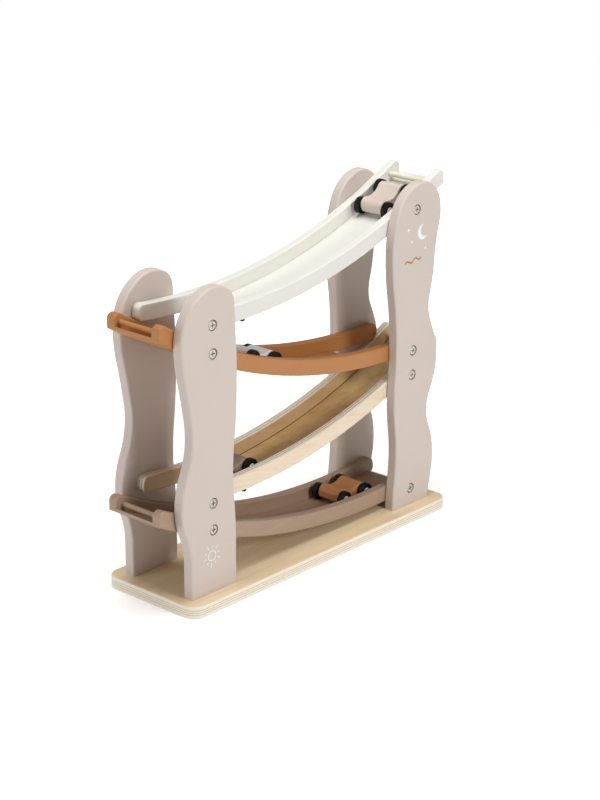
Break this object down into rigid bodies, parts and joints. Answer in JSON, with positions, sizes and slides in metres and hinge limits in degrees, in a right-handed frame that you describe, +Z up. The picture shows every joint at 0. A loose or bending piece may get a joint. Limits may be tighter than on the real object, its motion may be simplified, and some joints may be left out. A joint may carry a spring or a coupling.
{
  "type": "click clack track toy",
  "caption": "Zigzag toy ramp: curved wooden tracks between wavy uprights on a base board, with small wheeled cars that roll down and drop from track to track.",
  "frame": {"origin": "centre of the base board's underside", "axes": "+X along the toy towards the higher pair of uprights, +Y across it from the near to the far side, +Z up"},
  "size_m": [0.3293, 0.098, 0.2878],
  "materials": {
    "ply_natural": "clear lacquer on birch plywood",
    "paint_greige": "matt paint on plywood",
    "paint_white": "matt white paint on plywood",
    "stain_terracotta": "matt terracotta stain on plywood",
    "track_ply": "clear lacquer on plywood",
    "stain_mocha": "matt mocha stain on plywood",
    "car_greige": "matt paint",
    "car_white": "matt paint",
    "car_taupe": "matt paint",
    "car_terracotta": "matt paint",
    "cap_steel": "polished steel cap",
    "axle_steel": "bright steel",
    "screw_steel": "zinc plated",
    "screw_black": "black oxide",
    "tyre": "matt black rubber"
  },
  "bodies": {
    "stand": {"base_board": "ply_natural", "base_screws": "screw_steel", "upright_screws": "screw_steel", "upright_near_left": "paint_greige", "upright_far_left": "paint_greige", "upright_near_right": "paint_greige", "upright_far_right": "paint_greige", "track1_rail_near": "paint_white", "track1_rail_far": "paint_white", "track1_floor": "paint_white", "track1_dowel": "paint_white", "track1_floor_screws": "screw_black", "track2_rail_near": "stain_terracotta", "track2_rail_far": "stain_terracotta", "track2_floor": "stain_terracotta", "track2_dowel": "stain_terracotta", "track3_rail_near": "track_ply", "track3_rail_far": "track_ply", "track3_floor": "track_ply", "track3_dowel": "track_ply", "track3_floor_screws": "screw_black", "track4_rail_near": "stain_mocha", "track4_rail_far": "stain_mocha", "track4_floor": "stain_mocha", "track4_dowel": "stain_mocha"},
    "car1": {"car1_body": "car_greige"},
    "car1_wheels_left": {"car1_axle_left": "axle_steel", "car1_hubs_left": "cap_steel", "car1_tyres_left": "tyre"},
    "car1_wheels_right": {"car1_axle_right": "axle_steel", "car1_hubs_right": "cap_steel", "car1_tyres_right": "tyre"},
    "car2": {"car2_body": "car_white"},
    "car2_wheels_left": {"car2_axle_left": "axle_steel", "car2_hubs_left": "cap_steel", "car2_tyres_left": "tyre"},
    "car2_wheels_right": {"car2_axle_right": "axle_steel", "car2_hubs_right": "cap_steel", "car2_tyres_right": "tyre"},
    "car3": {"car3_body": "car_taupe"},
    "car3_wheels_left": {"car3_axle_left": "axle_steel", "car3_hubs_left": "cap_steel", "car3_tyres_left": "tyre"},
    "car3_wheels_right": {"car3_axle_right": "axle_steel", "car3_hubs_right": "cap_steel", "car3_tyres_right": "tyre"},
    "car4": {"car4_body": "car_terracotta"},
    "car4_wheels_left": {"car4_axle_left": "axle_steel", "car4_hubs_left": "cap_steel", "car4_tyres_left": "tyre"},
    "car4_wheels_right": {"car4_axle_right": "axle_steel", "car4_hubs_right": "cap_steel", "car4_tyres_right": "tyre"}
  },
  "joints": [
    {"name": "car1_travel", "type": "hinge", "parent": "stand", "child": "car1", "pos_m": [-0.08175, 0, 0.7383], "axis": [0, 1, 0], "range_deg": [-1.21, 21.8]},
    {"name": "car1_wheels_left_spin", "type": "hinge", "parent": "car1", "child": "car1_wheels_left", "pos_m": [0.10845, 0, 0.26089], "axis": [0, 1, 0], "continuous": true},
    {"name": "car1_wheels_right_spin", "type": "hinge", "parent": "car1", "child": "car1_wheels_right", "pos_m": [0.13235, 0, 0.27112], "axis": [0, 1, 0], "continuous": true},
    {"name": "car2_travel", "type": "hinge", "parent": "stand", "child": "car2", "pos_m": [0.11475, 0, 0.66215], "axis": [0, 1, 0], "range_deg": [-11.62, 11.88]},
    {"name": "car2_wheels_left_spin", "type": "hinge", "parent": "car2", "child": "car2_wheels_left", "pos_m": [-0.05061, 0, 0.17558], "axis": [0, 1, 0], "continuous": true},
    {"name": "car2_wheels_right_spin", "type": "hinge", "parent": "car2", "child": "car2_wheels_right", "pos_m": [-0.02579, 0, 0.16784], "axis": [0, 1, 0], "continuous": true},
    {"name": "car3_travel", "type": "hinge", "parent": "stand", "child": "car3", "pos_m": [-0.08075, 0, 0.60075], "axis": [0, 1, 0], "range_deg": [-22.58, 0.25]},
    {"name": "car3_wheels_left_spin", "type": "hinge", "parent": "car3", "child": "car3_wheels_left", "pos_m": [-0.0802, 0, 0.08685], "axis": [0, 1, 0], "continuous": true},
    {"name": "car3_wheels_right_spin", "type": "hinge", "parent": "car3", "child": "car3_wheels_right", "pos_m": [-0.0542, 0, 0.08754], "axis": [0, 1, 0], "continuous": true},
    {"name": "car4_travel", "type": "hinge", "parent": "stand", "child": "car4", "pos_m": [0.07465, 0, 0.5393], "axis": [0, 1, 0], "range_deg": [-4.88, 23.89]},
    {"name": "car4_wheels_left_spin", "type": "hinge", "parent": "car4", "child": "car4_wheels_left", "pos_m": [0.0578, 0, 0.02568], "axis": [0, 1, 0], "continuous": true},
    {"name": "car4_wheels_right_spin", "type": "hinge", "parent": "car4", "child": "car4_wheels_right", "pos_m": [0.0838, 0, 0.02548], "axis": [0, 1, 0], "continuous": true}
  ],
  "couplings": [
    {"joint": "car1_wheels_left_spin", "follows": "car1_travel", "ratio": -74.414},
    {"joint": "car1_wheels_right_spin", "follows": "car1_travel", "ratio": -74.414},
    {"joint": "car2_wheels_left_spin", "follows": "car2_travel", "ratio": -74.414},
    {"joint": "car2_wheels_right_spin", "follows": "car2_travel", "ratio": -74.414},
    {"joint": "car3_wheels_left_spin", "follows": "car3_travel", "ratio": -74.414},
    {"joint": "car3_wheels_right_spin", "follows": "car3_travel", "ratio": -74.414},
    {"joint": "car4_wheels_left_spin", "follows": "car4_travel", "ratio": -74.414},
    {"joint": "car4_wheels_right_spin", "follows": "car4_travel", "ratio": -74.414}
  ]
}
